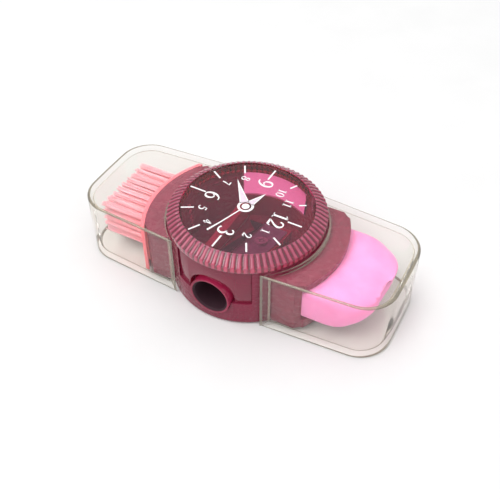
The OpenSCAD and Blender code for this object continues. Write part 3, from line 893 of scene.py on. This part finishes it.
def brush():
    """All the tufts as one piece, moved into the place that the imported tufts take."""
    tip, root = tuft_low.x, plate_high.x - 1.2 * MM
    low_y, high_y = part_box("tuft_column_1")[0].y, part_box("tuft_column_%d" % TUFT_COLUMNS)[1].y
    radius = 0.45 * MM
    obj = piece("bristle_tufts", [(0, 0, 0)], [], NYLON)
    tuft_tree().apply(obj, Columns=TUFT_COLUMNS, Rows=TUFT_ROWS, Width=high_y - low_y - 2 * radius,
                      Height=tuft_high.z - tuft_low.z - 2 * radius, Length=root - tip, Filaments=FILAMENTS,
                      Tuft_Radius=0.68 * MM, Filament_Radius=0.17 * MM, Seed=FILAMENT_SEED, Material=NYLON)
    co = np.array([v.co for v in obj.data.vertices])
    middle = (co.min(0) + co.max(0)) / 2
    want = np.array(((tip + root) / 2, (low_y + high_y) / 2, (tuft_low.z + tuft_high.z) / 2))
    obj.data.transform(Matrix.Translation(Vector(want - middle)))
    return obj


finish_piece(brush(), "root", "bristle", *["tuft_column_%d" % (i + 1) for i in range(TUFT_COLUMNS)])

# ---- eraser ----


RUBBER_SOCKET = (1.0 * MM, 27 * MM)  # rings inside the socket: first past the inner end, last at this x
RUBBER_OUT = 27.6 * MM  # first ring outside the socket
RUBBER_CORNER = 9.5 * MM
RUBBER_TAPER_X = 27.3 * MM  # the end starts to thin here
RUBBER_STEPS = 56
WORN_DEPTH = 0.9 * MM  # how much is rubbed off the front half of the end
LIP_RISE = 1.6  # height of the torn lip above the rubbed part
LIP_FOOT, LIP_WIDTH = -0.6, 1.1  # where the lip starts across the end, and how wide its slope is
TORN_TO = 1.2  # the torn surface ends here


def ramped(value):
    return min(1.0, max(0.0, value))


def worn_reach(y, z):
    """How far out the eraser still reaches: rubbed flat towards the front, with a torn lip beside it."""
    y, z = y / MM, z / MM
    torn = 0.22 * math.sin(3.7 * y + 2.1 * z) + 0.13 * math.sin(9.1 * y - 4.3 * z)
    flat = rubber_high.x - WORN_DEPTH
    lip = ramped((y - LIP_FOOT) / LIP_WIDTH)
    return flat + (torn * (1.0 if y < TORN_TO else 0.0) + LIP_RISE * lip) * MM


def rubber():
    """The eraser as rings round its length: square in its socket, rounded outside, worn at the end."""
    low, high = rubber_low, rubber_high
    half, corner, steps = high.y, RUBBER_CORNER, RUBBER_STEPS
    stations = np.concatenate([np.linspace(low.x + RUBBER_SOCKET[0], RUBBER_SOCKET[1], 8),
                               np.linspace(RUBBER_OUT, high.x, 34)])
    points = []
    for x in stations:
        past = max(0.0, x - (high.x - corner))
        width = half - corner + math.sqrt(max(0.0, corner ** 2 - past ** 2)) if past else half
        width = max(width, 0.35 * MM)
        under = max(0.0, x - RUBBER_TAPER_X) / (high.x - RUBBER_TAPER_X)
        bottom = low.z + (high.z - low.z - 0.8 * MM) * (1 - math.sqrt(max(0.0, 1 - min(1.0, under) ** 2.3)))
        top = high.z - 0.35 * MM * under ** 3
        middle, tall = (bottom + top) / 2, (top - bottom) / 2
        power = 7.0 - 3.6 * ramped((x - 25.5 * MM) / (6 * MM))  # squareness of the ring
        for i in range(steps):
            a = 2 * math.pi * i / steps
            c, s = math.cos(a), math.sin(a)
            y = width * math.copysign(abs(c) ** (2 / power), c)
            z = middle + tall * math.copysign(abs(s) ** (2 / power), s)
            points.append([min(x, worn_reach(y, z)), y, z])
    n = len(stations)
    faces = [(j * steps + i, (j + 1) * steps + i, (j + 1) * steps + (i + 1) % steps,
              j * steps + (i + 1) % steps) for j in range(n - 1) for i in range(steps)]
    faces += [tuple(range(steps)), tuple(reversed(range((n - 1) * steps, n * steps)))]
    return smooth_below(face_outwards(piece("eraser_block", points, faces, VINYL)), 50)


finish_piece(rubber(), "root", "eraser_vinyl", "eraser")

# ---- clear caps ----

CAP_WALL = 1.2
CAP_MOUTH_R = 19.2
CAP_END = 40.0
CAP_CORNER = 7.5
CAP_TAPER = 0.065  # slope of the side walls
CAP_BOW = 0.5  # how far the closed end bows out at its middle
CAP_BOW_FROM, CAP_BOW_OVER = 28, 10  # the bow starts here and is full this much further out
CAP_COLUMNS = 120  # even steps along a cap's outline
CORNER_STEPS = 24
FILLETS = (0.4, 0.3)  # radius of the rounded edges outside and inside
PLATE_STEPS = (0, 0.025, 0.2, 0.4, 0.6, 0.8, 0.985, 1)  # rows across a plate, from the mouth to the edge


def cap_outline(half, end):
    """Plan of a cap from one mouth corner round the closed end to the other, even steps along it."""
    start = math.sqrt(CAP_MOUTH_R ** 2 - half ** 2)
    r = CAP_CORNER - (CAP_END - end)
    tilt = math.atan(CAP_TAPER)
    cx = end - r
    cy = half - CAP_TAPER * (cx - start) - r / math.cos(tilt)
    path = [(start, half)]
    for i in range(CORNER_STEPS + 1):
        a = math.pi / 2 - tilt - (math.pi / 2 - tilt) * i / CORNER_STEPS
        path.append((cx + r * math.cos(a), cy + r * math.sin(a)))
    path = [(x, -y) for x, y in path] + [(x, y) for x, y in reversed(path)]
    path = np.array(path)
    gaps = np.r_[0, np.cumsum(np.linalg.norm(np.diff(path, axis=0), axis=1))]
    even = np.linspace(0, gaps[-1], CAP_COLUMNS)
    path = np.c_[np.interp(even, gaps, path[:, 0]), np.interp(even, gaps, path[:, 1])]
    near_end = np.clip((path[:, 0] - CAP_BOW_FROM) / CAP_BOW_OVER, 0, 1)
    path[:, 0] -= CAP_BOW * near_end * (path[:, 1] / half) ** 2
    return path


def clear_cap(name, side, low, high):
    """Thin open box. Its rows run out over the top plate, round the edges, down the wall and back below.

    The edges and the mouth's strips take the denser edge material, whose grey-beige colour is painted shade
    standing in for light bent at the edges; the rest stays clear."""
    tall = (high.z - low.z) / MM
    end = abs(high.x if side > 0 else low.x) / MM
    half = high.y / MM
    outer = cap_outline(half, end)
    inner = cap_outline(half - CAP_WALL / math.cos(math.atan(CAP_TAPER)), end - CAP_WALL)
    count, sections = CAP_COLUMNS, []

    def mouth(path):
        first, last = (math.atan2(path[k][1], path[k][0]) for k in (0, -1))
        turn = np.linspace(first, last, count)
        return np.c_[CAP_MOUTH_R * np.cos(turn), CAP_MOUTH_R * np.sin(turn)]

    def side_way(path):
        way = np.gradient(path, axis=0)
        way /= np.linalg.norm(way, axis=1)[:, None]
        return np.c_[-way[:, 1], way[:, 0]]

    painted_edge_bands = []  # whether the faces between a row and the next belong to an edge line of painted shade
    for path, floor_z, top_z, fillet in ((outer, 0.0, tall, FILLETS[0]),
                                         (inner, CAP_WALL, tall - CAP_WALL, FILLETS[1])):
        rim, inward = mouth(path), side_way(path)
        edge = path + inward * fillet
        edge[[0, -1]] = rim[[0, -1]]
        rows = [(rim + (edge - rim) * t, top_z) for t in PLATE_STEPS]
        for a in np.linspace(0, math.pi / 2, 6)[1:]:
            rows.append((path + inward * fillet * (1 - math.sin(a)), top_z - fillet * (1 - math.cos(a))))
        for a in np.linspace(math.pi / 2, 0, 6)[:-1]:
            rows.append((path + inward * fillet * (1 - math.sin(a)), floor_z + fillet * (1 - math.cos(a))))
        rows += [(rim + (edge - rim) * t, floor_z) for t in PLATE_STEPS[::-1]]
        plate = [True] + [False] * 5 + [path is outer]
        painted_edge_bands += plate + [True] * 5 + [False] + [True] * 5 + plate[::-1] + [False]
        sections.append(rows if path is outer else rows[::-1])
    rows = sections[0] + sections[1]
    points = [(side * p[0] * MM, p[1] * MM, low.z + z * MM) for plan, z in rows for p in plan]
    n = len(rows)
    faces = [(j * count + i, j * count + i + 1, (j + 1) % n * count + i + 1, (j + 1) % n * count + i)
             for j in range(n) for i in range(count - 1)]
    for i in (0, count - 1):
        faces += [(j * count + i, (j + 1) * count + i, (n - 2 - j) * count + i, (n - 1 - j) * count + i)
                  for j in range(n // 2 - 1)]
    obj = piece(name, points, faces, CLEAR)
    obj.data.materials.append(CLEAR_EDGE_PAINTED_SHADE)
    for k in range(n * (count - 1)):
        row, column = divmod(k, count - 1)
        obj.data.polygons[k].material_index = int(painted_edge_bands[row] or column in (0, count - 2))
    return smooth_below(face_outwards(obj), 40)


for side, name in ((-1, "left"), (1, "right")):
    low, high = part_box(name + "_cap")
    finish_piece(clear_cap(name + "_clear_cap", side, low, high), name + "_cap", "clear_plastic",
                 name + "_cap")

# ---- floor and light ----


FLOOR_HALF = 3.0
FLOOR_Z = -0.03 * MM  # just under the part, so that the two don't share a face


def add_floor():
    mat, nodes, links, shader = blank_material("pale_paper_floor")
    paper = noise(nodes, links, 60, 4)
    links.new(ramp(nodes, links, paper.outputs["Fac"], 0.3, 0.7, (0.74, 0.74, 0.74), (0.76, 0.76, 0.76)),
              shader.inputs["Base Color"])
    links.new(spread(nodes, links, paper.outputs["Fac"], 0.3, 0.7, 0.75, 0.85), shader.inputs["Roughness"])
    add_bump(nodes, links, shader, [paper.outputs["Fac"]], [0.05])
    corners = [(x * FLOOR_HALF, y * FLOOR_HALF, FLOOR_Z) for x, y in ((-1, -1), (1, -1), (1, 1), (-1, 1))]
    floor = piece("floor", corners, [(0, 1, 2, 3)], mat, False)


def add_light(name, place, size, power):
    """Soft rectangular lamp aimed at the part."""
    data = bpy.data.lights.new(name, "AREA")
    data.shape = "RECTANGLE"
    data.size, data.size_y = size
    data.energy = power
    lamp = bpy.data.objects.new(name, data)
    lamp.location = place
    lamp.rotation_euler = (-Vector(place)).to_track_quat("-Z", "Y").to_euler()
    bpy.context.scene.collection.objects.link(lamp)


def add_sky():
    """White studio surroundings, dimmer near the floor's edge than overhead."""
    world = bpy.data.worlds.new("studio")
    world.use_nodes = True
    nodes, links = world.node_tree.nodes, world.node_tree.links
    sky = nodes["Background"]
    sky.inputs["Color"].default_value = (1.0, 1.0, 1.0, 1)
    aim = nodes.new("ShaderNodeTexCoord")
    rise = nodes.new("ShaderNodeSeparateXYZ")
    links.new(aim.outputs["Generated"], rise.inputs["Vector"])
    links.new(spread(nodes, links, rise.outputs["Z"], 0.0, 0.9, 0.45, 1.15), sky.inputs["Strength"])
    bpy.context.scene.world = world


add_floor()
add_sky()
add_light("overhead_panel", (-0.30, -0.35, 0.80), (0.7, 0.5), 4.2)
add_light("side_panel", (0.70, -0.10, 0.40), (0.3, 0.3), 0.6)
bpy.context.scene.view_settings.view_transform = "Standard"
